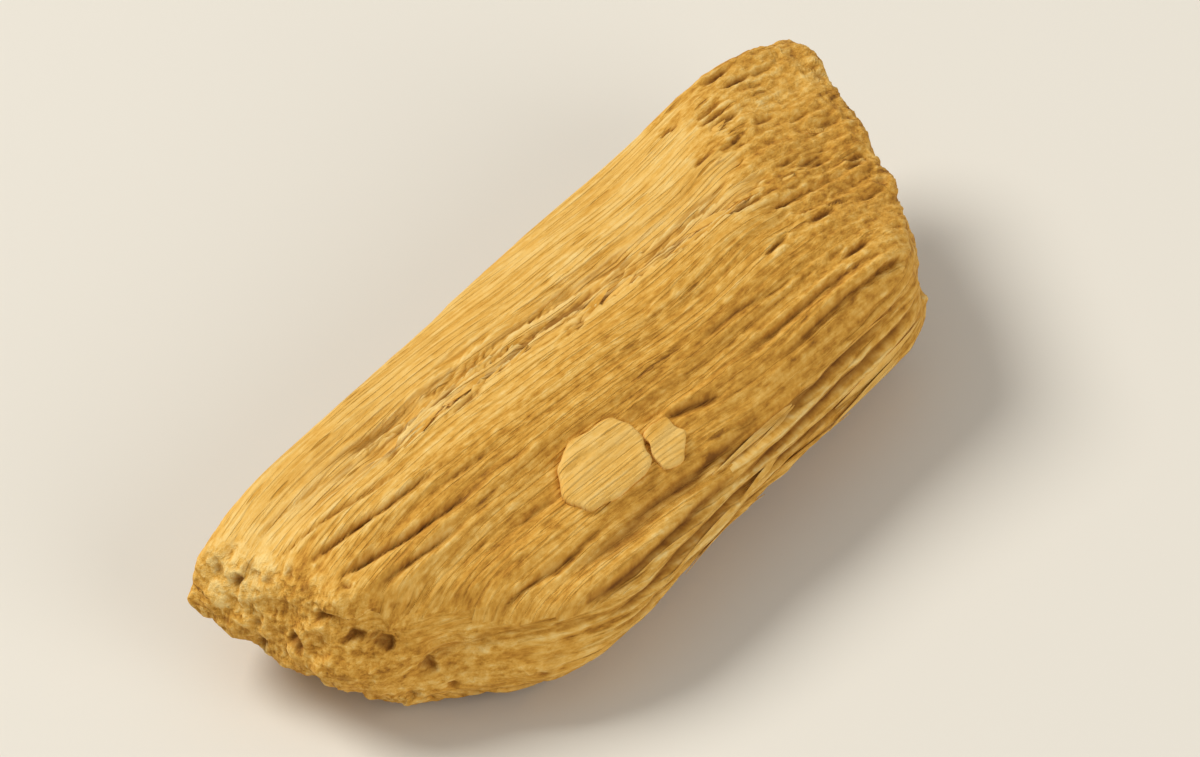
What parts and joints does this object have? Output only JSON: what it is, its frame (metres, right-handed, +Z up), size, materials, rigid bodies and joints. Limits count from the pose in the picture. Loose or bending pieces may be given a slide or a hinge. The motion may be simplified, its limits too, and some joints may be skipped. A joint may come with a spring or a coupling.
{
  "type": "palo santo wood chip",
  "caption": "Split chip of aromatic wood: a wedge with a long smooth strip, a fibrous stepped side and torn ends, lying on a small flat spot.",
  "frame": {"origin": "bottom centre of the chip's bounding box, on the surface that it lies on", "axes": "+X along the grain, towards the narrow tip; +Y towards the smooth strip; +Z up"},
  "size_m": [0.0204, 0.0076, 0.0051],
  "materials": {
    "heartwood": "raw split wood, dry and matte, with a faint resin sheen"
  },
  "bodies": {
    "root": {"wood_chip": "heartwood"}
  },
  "joints": []
}
